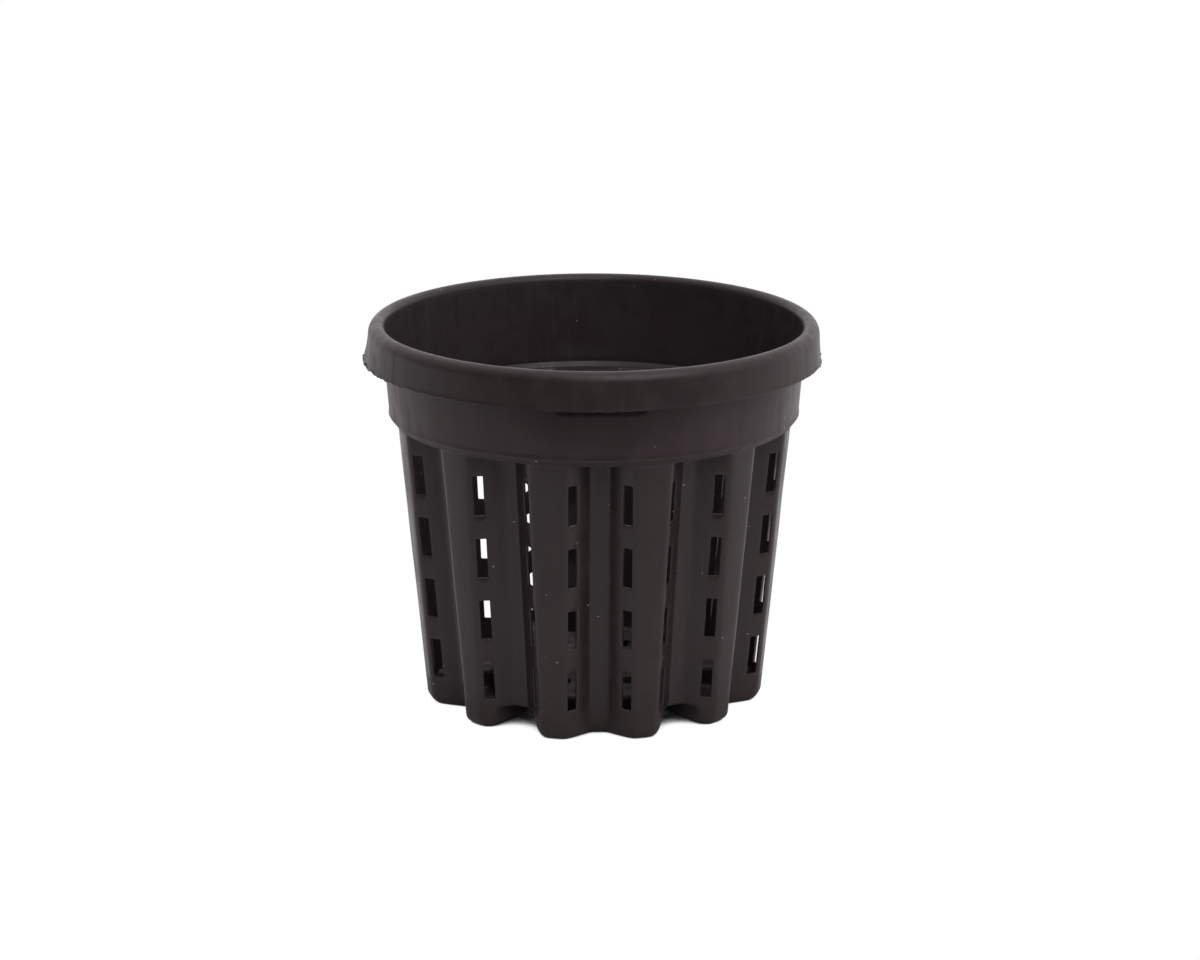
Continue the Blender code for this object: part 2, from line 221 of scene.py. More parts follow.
# Up-facing faces: settled dust, and painted light from above
DUST_AND_TOP_LIGHT_SLOPE = (0.55, 1.0, 0.0, 0.10)
UNDERSIDE_SLOPE = (-0.60, -0.25)
PAINTED_SHADE_FINISH = (0.0, 1.0, 0.0, 0.45)
FRONT_SHADE_SHARE = 0.35
DUST_CHANCE = 0.74
NOISE_ROUGHNESS = 0.55
CLOUD_DETAIL = 4.0
CLOUD_DISTORTION = 0.8
STREAK_DETAIL = 1.0
GRAIN_DETAIL = 3.0
GRAIN_STRENGTH = 0.2

# Colours of the plastic where it is smeared, dusty or rubbed, of settled dust and painted light on what faces
# up, of painted shade, and how it reflects
SMEAR_COLOUR = "#312C2D"
DUST_COLOUR = "#A09B95"
RUBBED_COLOUR = "#29292E"
DUST_AND_TOP_LIGHT_COLOUR = "#4C4545"
PAINTED_SHADE_COLOUR = "#1A1314"
POLYPROPYLENE_IOR = 1.49
SHEEN = 0.30

# The studio: how bright it is ahead of the camera and behind it, which way the bright side lies, and how the
# brightness changes between
STUDIO_COLOUR = "#FEF8FA"
BRIGHT_SIDE = 1.14
DIM_SIDE = 0.10
BRIGHT_TILT = 0.7
BRIGHT_TURN = math.radians(26.0)
BRIGHT_FACING = 0.72
DIM_FACING = -0.65
SOFTBOX_PLACE = (0.36, -1.0, 1.40)
SOFTBOX_SIZE = 1.2
SOFTBOX_POWER = 11.0

# The floor: how near the pot its shadow forms and how dark it is, and where the paper ends in front
FLOOR_SIZE = 20.0
FLOOR_GAP = 0.2 * MM
SHADOW_REACH = 100.0 * MM
SHADOW_SAMPLES = 16
SHADOW_DARK = 0.10
SHADOW_LIGHT = 0.25
SHADOW_LEVEL = 0.0035
PAPER_END = -0.35
PAPER_FADE = 0.15
PAPER_SHARE = 0.90
TABLE_SHARE = 0.18
WHITE = "#FFFFFF"
PAPER_COLOUR = "#FFF8F8"
REFLECTED_COLOUR = "#FFFAFB"

# Settings that several nodes share. A Mix node takes its share at socket 0, numbers at 2 and 3 and colours at
# 6 and 7, and gives a number as output 0 and a colour as output 2
EASED = {"interpolation_type": "SMOOTHSTEP"}
MULTIPLIED = {"operation": "MULTIPLY"}
ADDED = {"operation": "ADD"}
LARGER = {"operation": "MAXIMUM"}
DOT_PRODUCT = {"operation": "DOT_PRODUCT"}
COLOURS = {"data_type": "RGBA"}

# The camera, found by fitting the rim, ledge and feet to the photograph
PHOTO_WIDTH = 1200
FOCAL_PIXELS = 3159.0
SENSOR_WIDTH = 36.0
CAMERA_DISTANCE = 1.508
CAMERA_HEIGHT = 0.5246
CAMERA_PITCH = math.radians(15.49)
CAMERA_TURN = math.radians(-2.0)
CAMERA_PAN = math.radians(-0.119)
CAMERA_ROLL = math.radians(0.13)


def clamp(value, low, high):
    return max(low, min(high, value))


def mix(start, end, share):
    return start + (end - start) * share


def spaced(start, end, steps):
    """Evenly spaced values from start to end, both included."""
    return [mix(start, end, step / steps) for step in range(steps + 1)]


def section(distance, z):
    """Angle from a lobe's centre, and depth below its crown, at a distance along the section.

    The valleys keep their width all the way up, and the crowns take up what the cone gains.
    """
    shoulder = clamp(distance - CROWN_HALF_WIDTH, 0.0, SHOULDER_END - CROWN_HALF_WIDTH) / SHOULDER_RADIUS
    flank = clamp(distance - SHOULDER_END, 0.0, FLANK_LENGTH)
    fillet = clamp(distance - FLANK_END, 0.0, FILLET_END - FLANK_END) / VALLEY_FILLET
    across = min(distance, CROWN_HALF_WIDTH) + max(0.0, distance - FILLET_END)
    across += SHOULDER_RADIUS * math.sin(shoulder) + flank * math.cos(FLANK_ANGLE)
    across += VALLEY_FILLET * (math.sin(FLANK_ANGLE) - math.sin(FLANK_ANGLE - fillet))
    depth = SHOULDER_RADIUS * (1.0 - math.cos(shoulder)) + flank * math.sin(FLANK_ANGLE)
    depth += VALLEY_FILLET * (math.cos(FLANK_ANGLE - fillet) - math.cos(FLANK_ANGLE))
    middle = crown_radius(z) - FLUTE_DEPTH / 2.0
    gain = (middle - MID_RADIUS) * FLUTE_ANGLE / 2.0
    across += gain * min(1.0, distance / CROWN_HALF_WIDTH)
    return across / middle, depth


def foot_depth_at(angle):
    """Depth of the wall below the crown, above a foot, at an angle from a lobe's centre, by halving."""
    near, far = 0.0, SECTION_END
    for _ in range(HALVINGS):
        middle = (near + far) / 2.0
        if section(middle, BASE_SEAM_Z)[0] < angle:
            near = middle
        else:
            far = middle
    return section(near, BASE_SEAM_Z)[1]


def crown_radius(z):
    return CROWN_BASE_RADIUS + z * FLUTE_SLOPE


def lobe_stations():
    """Distances from a lobe's crown to the valley beside it, with edges where the slot has its own."""
    stations = spaced(0.0, CROWN_HALF_WIDTH, CROWN_STEPS)
    stations += spaced(CROWN_HALF_WIDTH, SHOULDER_END, SHOULDER_STEPS)[1:]
    stations += spaced(SHOULDER_END, SLOT_END, SLOT_STEPS)[1:]
    stations += spaced(SLOT_END, FLANK_END, FLANK_STEPS)[1:]
    stations += spaced(FLANK_END, FILLET_END, FILLET_STEPS)[1:]
    stations += spaced(FILLET_END, SECTION_END, VALLEY_STEPS)[1:]
    return stations


def foot_side():
    """A foot's side from floor to sole, as steps of (offset from the side, share of the drop)."""
    points = []
    for turn in spaced(0.0, math.pi / 2.0, FLOOR_FILLET_STEPS):
        offset = FLOOR_FILLET * (math.sin(turn) - 1.0)
        points.append((offset, FLOOR_Z - FLOOR_FILLET * (1.0 - math.cos(turn))))
    for turn in spaced(0.0, math.pi / 2.0, FOOT_FILLET_STEPS):
        offset = FOOT_SIDE_DRAFT + FOOT_FILLET * (1.0 - math.cos(turn))
        points.append((offset, FOOT_FILLET * (1.0 - math.sin(turn))))
    return [(offset, (FLOOR_Z - z) / FLOOR_Z) for offset, z in points]


FOOT_SIDE = foot_side()
STATIONS = lobe_stations()
HALF_LOBE = len(STATIONS) - 1
SLOT_START = CROWN_STEPS + SHOULDER_STEPS
SLOT_STOP = SLOT_START + SLOT_STEPS


class Column:
    """One line of the sheet from the floor to the lip: where it runs on the wall, and on the foot below."""

    def __init__(self, station, lobe_centre, side, beside_arch):
        self.lobe_centre = lobe_centre
        self.side = side
        self.distance = STATIONS[station]
        self.foot_turn, self.depth = section(self.distance, BASE_SEAM_Z)
        self.drop = 1.0
        if beside_arch:
            self.turn_to_arch(station)
        self.foot_depth = foot_depth_at(self.foot_turn)

    def turn_to_arch(self, station):
        """Beside an arch the lines close up on the foot's side, and those in the arch don't drop."""
        last = SLOT_STOP + FLANK_STEPS
        steps = len(FOOT_SIDE)
        sole_turn = FLUTE_ANGLE / 2.0 - math.asin((ARCH_HALF_WIDTH + FOOT_SIDE[-1][0]) / ARCH_RADIUS)
        first = last - steps
        if station >= last:
            self.drop = 0.0
        elif station >= first:
            offset, self.drop = FOOT_SIDE[last - 1 - station]
            self.foot_turn = FLUTE_ANGLE / 2.0 - math.asin((ARCH_HALF_WIDTH + offset) / ARCH_RADIUS)
        else:
            self.foot_turn = sole_turn * station / first

    def angle(self, z, low):
        turn = section(self.distance, clamp(z, BASE_SEAM_Z, LEDGE_Z))[0]
        return self.lobe_centre + self.side * mix(turn, self.foot_turn, low)

    def outline(self, z, low):
        """Radius of the wall's outside."""
        return crown_radius(z) - mix(self.depth, self.foot_depth, low)

    def sole_z(self):
        return FLOOR_Z * (1.0 - self.drop)

    def fillet(self):
        return mix(ARCH_TOP_FILLET, FOOT_FILLET, self.drop)


def sector_columns():
    """The lines of one sixth of the pot, from the middle of an arch to the middle of the next."""
    columns = []
    for lobe_centre, outer_side in ((-FLUTE_ANGLE / 2.0, -1.0), (FLUTE_ANGLE / 2.0, 1.0)):
        outer = [Column(s, lobe_centre, outer_side, True) for s in range(HALF_LOBE + 1)]
        inner = [Column(s, lobe_centre, -outer_side, False) for s in range(HALF_LOBE + 1)]
        lobe = outer[::-1] + inner[1:] if outer_side < 0.0 else inner[::-1] + outer[1:]
        columns += lobe if not columns else lobe[1:]
    return columns


def slot_levels():
    """Lower and upper edge of each slot in a column."""
    sills = [FLOOR_Z + SLOT_SILL + row * (SLOT_HEIGHT + SLOT_WEB) for row in range(SLOT_ROWS)]
    return [(sill, sill + SLOT_HEIGHT) for sill in sills]


def base_rows():
    """Rows from the floor over the foot to the seam with the wall.

    Each is a function of a column, and says how low it lies: 1 on the foot, and 0 on the wall.
    """
    sole_start = FOOT_INNER_RADIUS + FOOT_SIDE[-1][0]

    def floor(radius):
        return lambda c: (radius, FLOOR_Z)

    def side(offset, drop):
        return lambda c: (FOOT_INNER_RADIUS + offset, FLOOR_Z * (1.0 - drop * c.drop))

    def sole(share):
        return lambda c: (mix(sole_start, c.outline(c.sole_z(), 1.0) - c.fillet(), share), c.sole_z())

    def edge(turn):
        def place(c):
            z = c.sole_z() + c.fillet() * (1.0 - math.cos(turn))
            return c.outline(z, 1.0) - c.fillet() * (1.0 - math.sin(turn)), z
        return place

    def above_edge(share):
        def place(c):
            z = mix(c.sole_z() + c.fillet(), BASE_SEAM_Z, share)
            return c.outline(z, 1.0 - share), z
        return place

    rows = [(floor(FLOOR_FILL_RADIUS), 1.0), (floor(FLOOR_EDGE_RADIUS), 1.0)]
    rows += [(side(*step), 1.0) for step in FOOT_SIDE]
    rows += [(sole(share), 1.0) for share in (0.33, 0.67)]
    rows += [(edge(turn), 1.0) for turn in spaced(0.0, math.pi / 2.0, SOLE_EDGE_STEPS)]
    rows += [(above_edge(0.5), 0.5), (above_edge(1.0), 0.0)]
    return rows


def wall_heights():
    """Heights of the wall's rows, with an edge at the lower and upper edge of each slot."""
    slots = slot_levels()
    heights = []
    for row, (sill, head) in enumerate(slots):
        heights += spaced(sill, head, SLOT_RISE_STEPS)
        next_sill = slots[row + 1][0] if row + 1 < SLOT_ROWS else COLLAR_SEAM_Z
        heights += spaced(head, next_sill, WEB_STEPS)[1:-1]
    return heights + [COLLAR_SEAM_Z]


def collar_rows():
    """Rows from the wall along the roof of its valleys, out to the collar's tucked-in edge and up it."""
    tuck_radius = CROWN_TOP_RADIUS + LEDGE_FILLET + TUCK_GAP

    def fillet(turn):
        def place(c):
            z = ROOF_Z - LEDGE_FILLET * (1.0 - math.sin(turn))
            return c.outline(z, 0.0) + LEDGE_FILLET * (1.0 - math.cos(turn)), z
        return place

    def roof(share):
        return lambda c: (mix(c.outline(ROOF_Z, 0.0) + LEDGE_FILLET, tuck_radius, share), ROOF_Z)

    def ring(radius, z):
        return lambda c: (radius, z)

    def on_collar(z):
        flare = COLLAR_FLARE * max(0.0, 1.0 - (z - LEDGE_Z) / COLLAR_TUCK) ** 2
        return ring(COLLAR_BASE_RADIUS + (z - LEDGE_Z) * COLLAR_SLOPE + flare, z)

    rows = [fillet(turn) for turn in spaced(0.0, math.pi / 2.0, LEDGE_FILLET_STEPS)]
    rows += [roof(share) for share in (0.5, 1.0)]
    edge_radius = COLLAR_BASE_RADIUS + COLLAR_FLARE
    for share in (0.33, 0.66, 1.0 - COLLAR_CORNER / COLLAR_TUCK):
        rows.append(ring(mix(tuck_radius, edge_radius, share), mix(ROOF_Z, LEDGE_Z, share)))
    rows.append(ring(edge_radius - 0.15 * COLLAR_CORNER, LEDGE_Z))
    rows += [on_collar(LEDGE_Z + COLLAR_CORNER + rise) for rise in COLLAR_EDGE_RISES]
    rows += [on_collar(z) for z in spaced(LEDGE_Z + COLLAR_TUCK, RIM_SEAM_Z, COLLAR_STEPS)]
    return rows


def rim_rows():
    """Rows up the rim's inner leg, round its narrow ridge, over its shoulder and down the lip."""
    straight_z = RIM_SEAM_Z + RIM_STRAIGHT
    straight_radius = COLLAR_BASE_RADIUS + (straight_z - LEDGE_Z) * COLLAR_SLOPE
    inner_round = RIM_INNER_ROUND - WALL
    ridge_z = RIM_TOP_Z - RIM_INNER_ROUND
    leg_height = ridge_z - straight_z
    rise = RIM_LEG_RADIUS - straight_radius
    shoulder_width = RIM_SHOULDER_WIDTH - WALL
    shoulder_height = RIM_SHOULDER_HEIGHT - WALL

    def ring(radius, z):
        return lambda c: (radius, z)

    rows = [ring(straight_radius, straight_z)]
    for share in (0.25, 0.5, 0.75):
        eased = share * share * (3.0 - 2.0 * share)
        lean = share * (1.0 - share) ** 2 * COLLAR_SLOPE * leg_height
        rows.append(ring(straight_radius + rise * eased + lean, straight_z + leg_height * share))
    for turn in spaced(math.pi, math.pi / 2.0, RIDGE_STEPS)[:-1]:
        radius = RIDGE_RADIUS + inner_round * math.cos(turn)
        rows.append(ring(radius, ridge_z + inner_round * math.sin(turn)))
    for turn in spaced(math.pi / 2.0, 0.0, RIM_SHOULDER_STEPS):
        radius = RIDGE_RADIUS + shoulder_width * math.cos(turn)
        rows.append(ring(radius, LIP_TOP_Z + shoulder_height * math.sin(turn)))
    for share in spaced(0.0, BURR_START, LIP_STEPS)[1:]:
        rows.append(ring(LIP_RADIUS - WALL + LIP_FLARE * share, mix(LIP_TOP_Z, LIP_Z, share)))
    rows.append(ring(LIP_RADIUS - WALL + LIP_FLARE + LIP_BURR, LIP_Z))
    return rows


def srgb(code):
    """Linear colour of an sRGB hex value."""
    values = [int(code[place:place + 2], 16) / 255.0 for place in (1, 3, 5)]
    linear = [v / 12.92 if v <= 0.04045 else ((v + 0.055) / 1.055) ** 2.4 for v in values]
    return (*linear, 1.0)


def add_node(tree, kind, settings, sockets):
    """Adds a node with its settings, fills its sockets, by name or number, and gives its outputs."""
    node = tree.nodes.new(kind)
    for name, value in settings.items():
        setattr(node, name, value)
    for name, value in sockets.items():
        if isinstance(value, bpy.types.NodeSocket):
            tree.links.new(value, node.inputs[name])
        else:
            node.inputs[name].default_value = value
    return node.outputs


def span(low, high, start, end):
    """Socket values that map the range from low to high onto the range from start to end."""
    return {"From Min": low, "From Max": high, "To Min": start, "To Max": end}


def streaks(tree, place, width, length, slant):
    """Noise drawn out to a length, upright or slanting to one side."""
    stretch = {"Vector": place, "Rotation": (0.0, slant, 0.0), "Scale": (1.0, 1.0, width / length)}
    drawn_out = add_node(tree, "ShaderNodeMapping", {}, stretch)["Vector"]
    texture = {"Scale": 1.0 / width, "Detail": STREAK_DETAIL, "Roughness": NOISE_ROUGHNESS}
    return add_node(tree, "ShaderNodeTexNoise", {}, {"Vector": drawn_out, **texture})["Fac"]


def dust_specks(tree, place):
    """1 on the few cells of a fine net that hold a speck of dust, a few tenths of a millimetre across."""
    net = add_node(tree, "ShaderNodeTexVoronoi", {}, {"Vector": place, "Scale": 1.0 / DUST_SPACING})
    chance = add_node(tree, "ShaderNodeSeparateColor", {}, {"Color": net["Color"]})["Red"]
    sizes = {"Value": chance, **span(DUST_CHANCE, 1.0, 0.0, DUST_RADIUS / DUST_SPACING)}
    size = add_node(tree, "ShaderNodeMapRange", EASED, sizes)["Result"]
    return add_node(tree, "ShaderNodeMath", {"operation": "LESS_THAN"}, {0: net["Distance"], 1: size})[0]


def painted_shadow_under_lip(tree, place):
    """Painted shade on the collar in front: a dark strip of painted shadow under the lip, and fainter painted
    shade below it.
    """
    x, y, z = add_node(tree, "ShaderNodeSeparateXYZ", {}, {"Vector": place})
    beside = add_node(tree, "ShaderNodeMath", MULTIPLIED, {0: x, 1: x})[0]
    near = (SHADOW_STRIP_HALF_WIDTH - SHADOW_STRIP_END_FADE) ** 2
    far = (SHADOW_STRIP_HALF_WIDTH + SHADOW_STRIP_END_FADE) ** 2
    low = LIP_Z - SHADOW_STRIP_DEPTH
    fades = (
        (beside, span(near, far, 1.0, 0.0)),
        (z, span(low + STRIP_FADE[0], low + STRIP_FADE[1], 0.0, 1.0)),
        (beside, span(0.0, FRONT_SHADE_HALF_WIDTH ** 2, FRONT_SHADE_SHARE, 0.0)),
        (z, span(LEDGE_Z + FRONT_SHADE_FADE[0], LEDGE_Z + FRONT_SHADE_FADE[1], 0.0, 1.0)),
        (z, span(LIP_Z + LIP_FADE[0], LIP_Z + LIP_FADE[1], 1.0, 0.0)),
        (y, span(*FRONT_FADE, 1.0, 0.0)),
    )
    faded = []
    for value, ends in fades:
        faded.append(add_node(tree, "ShaderNodeMapRange", EASED, {"Value": value, **ends})["Result"])
    strip = add_node(tree, "ShaderNodeMath", MULTIPLIED, {0: faded[0], 1: faded[1]})[0]
    front_shade = add_node(tree, "ShaderNodeMath", MULTIPLIED, {0: faded[2], 1: faded[3]})[0]
    under_lip_in_front = add_node(tree, "ShaderNodeMath", MULTIPLIED, {0: faded[4], 1: faded[5]})[0]
    painted_shade = add_node(tree, "ShaderNodeMath", LARGER, {0: strip, 1: front_shade})[0]
    return add_node(tree, "ShaderNodeMath", MULTIPLIED, {0: painted_shade, 1: under_lip_in_front})[0]


def recycled_polypropylene(name, dark, light, gloss, dull, underside_shade):
    """Recycled black polypropylene, injection moulded.

    The regrind fills the mould in clouds a few centimetres wide, a little paler or darker, and drags into
    upright streaks along its flow. Rubbing leaves slanting smears, and grey patches inside the pot. Clouds,
    streaks and smears alike change how sharply it shines. The mould's fine grain breaks up the highlights.
    Pale dust sits on it. What faces up is paler, as settled dust and painted light, and what faces down is
    duller and darker, as painted shade.
    """
    material = bpy.data.materials.new(name)
    material.use_nodes = True
    tree = material.node_tree
    place = add_node(tree, "ShaderNodeTexCoord", {}, {})["Object"]
    normal = add_node(tree, "ShaderNodeNewGeometry", {}, {})["Normal"]
    upward = add_node(tree, "ShaderNodeSeparateXYZ", {}, {"Vector": normal})["Z"]
    level = add_node(tree, "ShaderNodeVectorMath", MULTIPLIED, {0: place, 1: (1.0, 1.0, 0.0)})[0]
    outward = add_node(tree, "ShaderNodeVectorMath", DOT_PRODUCT, {0: level, 1: normal})["Value"]
    texture = {"Vector": place, "Roughness": NOISE_ROUGHNESS}
    cloud_texture = {"Scale": 1.0 / CLOUD_SIZE, "Detail": CLOUD_DETAIL, "Distortion": CLOUD_DISTORTION}
    clouds = add_node(tree, "ShaderNodeTexNoise", {}, {**texture, **cloud_texture})["Fac"]
    grain_texture = {"Scale": 1.0 / GRAIN_SIZE, "Detail": GRAIN_DETAIL}
    grain = add_node(tree, "ShaderNodeTexNoise", {}, {**texture, **grain_texture})["Fac"]
    flow = streaks(tree, place, FLOW_WIDTH, FLOW_LENGTH, 0.0)
    smears = streaks(tree, place, SMEAR_WIDTH, SMEAR_LENGTH, SMEAR_SLANT)
    ranges = {
        "tinted": (clouds, span(*CLOUD_TINT)),
        "patchy": (clouds, span(*CLOUD_RUBBING)),
        "inside": (outward, span(*INSIDE)),
        "smeared": (smears, span(*SMEAR_TINT)),
        "dust_and_top_light": (upward, span(*DUST_AND_TOP_LIGHT_SLOPE)),
        # Painted shade on what faces down
        "painted_underside_shade": (upward, span(*UNDERSIDE_SLOPE, underside_shade, 0.0)),
        "cloud_finish": (clouds, span(*CLOUD_FINISH, gloss, dull)),
        "flow_finish": (flow, span(*FLOW_FINISH)),
        "smear_finish": (smears, span(*SMEAR_FINISH)),
    }
    marks = {}
    for mark, (value, ends) in ranges.items():
        marks[mark] = add_node(tree, "ShaderNodeMapRange", EASED, {"Value": value, **ends})["Result"]
    rubbed = add_node(tree, "ShaderNodeMath", MULTIPLIED, {0: marks["inside"], 1: marks["patchy"]})[0]
    # Painted shadow under the front of the lip, with fainter painted shade below it
    shadow_under_lip = painted_shadow_under_lip(tree, place)
    painted_shade = add_node(tree, "ShaderNodeMath", LARGER, {0: shadow_under_lip, 1: marks["painted_underside_shade"]})[0]
    painted_shade_ends = {"Value": painted_shade, **span(*PAINTED_SHADE_FINISH)}
    marks["painted_shade_finish"] = add_node(tree, "ShaderNodeMapRange", EASED, painted_shade_ends)["Result"]
    tint = add_node(tree, "ShaderNodeMix", COLOURS, {0: marks["tinted"], 6: srgb(dark), 7: srgb(light)})[2]
    layers = (
        (rubbed, RUBBED_COLOUR),
        (marks["smeared"], SMEAR_COLOUR),
        # Settled dust, and painted light from above, on what faces up
        (marks["dust_and_top_light"], DUST_AND_TOP_LIGHT_COLOUR),
        # Painted shade: under the front of the lip, and on what faces down
        (painted_shade, PAINTED_SHADE_COLOUR),
        (dust_specks(tree, place), DUST_COLOUR),
    )
    for share, colour in layers:
        tint = add_node(tree, "ShaderNodeMix", COLOURS, {0: share, 6: tint, 7: srgb(colour)})[2]
    finish = marks["cloud_finish"]
    for mark in ("flow_finish", "smear_finish", "painted_shade_finish"):
        finish = add_node(tree, "ShaderNodeMath", ADDED, {0: finish, 1: marks[mark]})[0]
    relief = {"Strength": GRAIN_STRENGTH, "Distance": GRAIN_DEPTH, "Height": grain}
    grained = add_node(tree, "ShaderNodeBump", {}, relief)["Normal"]
    shader = tree.nodes["Principled BSDF"].inputs
    shader["IOR"].default_value = POLYPROPYLENE_IOR
    shader["Specular IOR Level"].default_value = SHEEN
    tree.links.new(tint, shader["Base Color"])
    tree.links.new(finish, shader["Roughness"])
    tree.links.new(grained, shader["Normal"])
    return material


def start_editing(piece, mode):
    """Opens a piece in edit mode, with nothing selected."""
    bpy.ops.object.select_all(action="DESELECT")
    piece.select_set(True)
    bpy.context.view_layer.objects.active = piece
    bpy.ops.object.mode_set(mode="EDIT")
    bpy.ops.mesh.select_mode(type=mode)
    bpy.ops.mesh.select_all(action="DESELECT")


def stop_editing():
    bpy.ops.object.mode_set(mode="OBJECT")


def select_elements(piece, kind, wanted):
    """Selects, in the piece being edited, the vertices, edges or polygons that pass a test."""
    stop_editing()
    for element in getattr(piece.data, kind):
        element.select = wanted(element)
    bpy.ops.object.mode_set(mode="EDIT")


def lay_out_sheet(materials):
    """One sixth of the moulding's outer skin, with its slots open, and a material for each of its areas."""
    columns = sector_columns()
    base = base_rows()
    heights = wall_heights()
    collar = collar_rows()
    rim = rim_rows()
    rows = list(base)
    rows += [(lambda c, z=z: (c.outline(z, 0.0), z), 0.0) for z in heights]
    rows += [(place, 0.0) for place in collar]
    rows += [(place, 0.0) for place in rim]
    wall_start = len(base) - 1
    collar_start = wall_start + len(heights)
    rim_start = collar_start + len(collar)
    across = len(columns) - 1
    up = len(rows) - 1
    bpy.ops.object.select_all(action="DESELECT")
    bpy.ops.mesh.primitive_grid_add(x_subdivisions=across, y_subdivisions=up, size=1.0)
    sheet = bpy.context.active_object
    mesh = sheet.data
    for material in materials:
        mesh.materials.append(material)
    levels = slot_levels()
    open_faces = []
    for face in mesh.polygons:
        column = int((face.center.x + 0.5) * across)
        row = int((face.center.y + 0.5) * up)
        face.material_index = sum(row >= start for start in (wall_start, collar_start, rim_start))
        station = column % (2 * HALF_LOBE)
        station = HALF_LOBE - 1 - station if station < HALF_LOBE else station - HALF_LOBE
        on_flank = SLOT_START <= station < SLOT_STOP
        if on_flank and wall_start < row < collar_start:
            z = (heights[row - wall_start - 1] + heights[row - wall_start]) / 2.0
            if any(sill < z < head for sill, head in levels):
                open_faces.append(face.index)
    for vertex in mesh.vertices:
        column = columns[round((vertex.co.x + 0.5) * across)]
        place, low = rows[round((vertex.co.y + 0.5) * up)]
        radius, z = place(column)
        angle = FRONT + column.angle(z, low)
        vertex.co = (radius * math.cos(angle), radius * math.sin(angle), z)
    start_editing(sheet, "FACE")
    opened = set(open_faces)
    select_elements(sheet, "polygons", lambda face: face.index in opened)
    bpy.ops.mesh.delete(type="FACE")
    return sheet


def turn_sheet_round():
    """Copies the sheet that is being edited round the axis, and welds the copies into one skin."""
    bpy.ops.mesh.select_all(action="SELECT")
    for _ in range(FEET - 1):
        bpy.ops.mesh.duplicate()
        bpy.ops.transform.rotate(value=FOOT_ANGLE, orient_axis="Z", center_override=(0.0, 0.0, 0.0))
    bpy.ops.mesh.select_all(action="SELECT")
    bpy.ops.mesh.remove_doubles(threshold=WELD_DISTANCE)


def fill_floor(sheet):
    """Closes the floor round a drain hole in line with each arch, and faces the whole skin outwards."""
    for index in range(FEET):
        angle = FRONT + (index + 0.5) * FOOT_ANGLE
        centre = (DRAIN_CIRCLE_RADIUS * math.cos(angle), DRAIN_CIRCLE_RADIUS * math.sin(angle), FLOOR_Z)
        hole = {"vertices": DRAIN_HOLE_STEPS, "radius": DRAIN_HOLE_RADIUS}
        bpy.ops.mesh.primitive_circle_add(location=centre, **hole)
    bpy.ops.mesh.select_mode(type="EDGE")
    stop_editing()
    points = sheet.data.vertices
    edge_faces = {}
    for face in sheet.data.polygons:
        for key in face.edge_keys:
            edge_faces[key] = edge_faces.get(key, 0) + 1
    for face in sheet.data.polygons:
        face.select = False
    for edge in sheet.data.edges:
        inner = all(points[i].co.xy.length < FLOOR_FILL_RADIUS + PLACE_MARGIN for i in edge.vertices)
        edge.select = inner and edge_faces.get(edge.key, 0) < 2
    for point in points:
        point.select = False
    bpy.ops.object.mode_set(mode="EDIT")
    bpy.ops.mesh.fill(use_beauty=True)
    bpy.ops.mesh.select_all(action="SELECT")
    bpy.ops.mesh.normals_make_consistent(inside=False)
    stop_editing()
    lowest = min(sheet.data.polygons, key=lambda face: face.center.z)
    if lowest.normal.z > 0.0:
        start_editing(sheet, "FACE")
        bpy.ops.mesh.select_all(action="SELECT")
        bpy.ops.mesh.flip_normals()
        stop_editing()


def warp(sheet):
    """Moves the skin by the little that the moulding warps, and bends and frays the edge of its lip."""
    for point in sheet.data.vertices:
        x, y, z = point.co
        radius = math.hypot(x, y)
        if radius < FLOOR_FILL_RADIUS + PLACE_MARGIN:
            continue
        out = WARP_DEPTH * clamp((z - BASE_SEAM_Z) / WARP_SIZE, 0.0, 1.0) * noise.noise(point.co / WARP_SIZE)
        from_front = math.atan2(y, x) - FRONT
        in_rim = clamp((z - RIM_SEAM_Z) / (LIP_TOP_Z - RIM_SEAM_Z), 0.0, 1.0)
        point.co.z -= RIM_LEAN * in_rim * math.cos(from_front)
        if radius > RIM_RADIUS - 2.0 * WALL and z < LIP_TOP_Z:
            hang = (LIP_TOP_Z - z) / (LIP_TOP_Z - LIP_Z)
            fray = noise.noise(point.co / FLASH_SIZE)
            for centre, spread, reach, flash in LIP_BENDS:
                away = math.remainder(from_front - centre, 2.0 * math.pi) / spread
                share = math.exp(-away * away)
                out += share * reach * hang ** BEND_POWER
                if hang > LIP_EDGE_SHARE:
                    out += share * flash * max(0.0, fray)
                    point.co.z += share * flash * (fray - FLASH_BIAS)
        point.co.x += out * x / radius
        point.co.y += out * y / radius


def divide(sheet, names):
    """Divides the skin by its materials into named pieces."""
    start_editing(sheet, "FACE")
    bpy.ops.mesh.select_all(action="SELECT")
    bpy.ops.mesh.separate(type="MATERIAL")
    stop_editing()
    pieces = {}
    for piece in list(bpy.context.selected_objects):
        material = piece.data.materials[piece.data.polygons[0].material_index]
        name = names[material.name]
        piece.name = name
        piece.data.name = name
        pieces[name] = piece
    return pieces


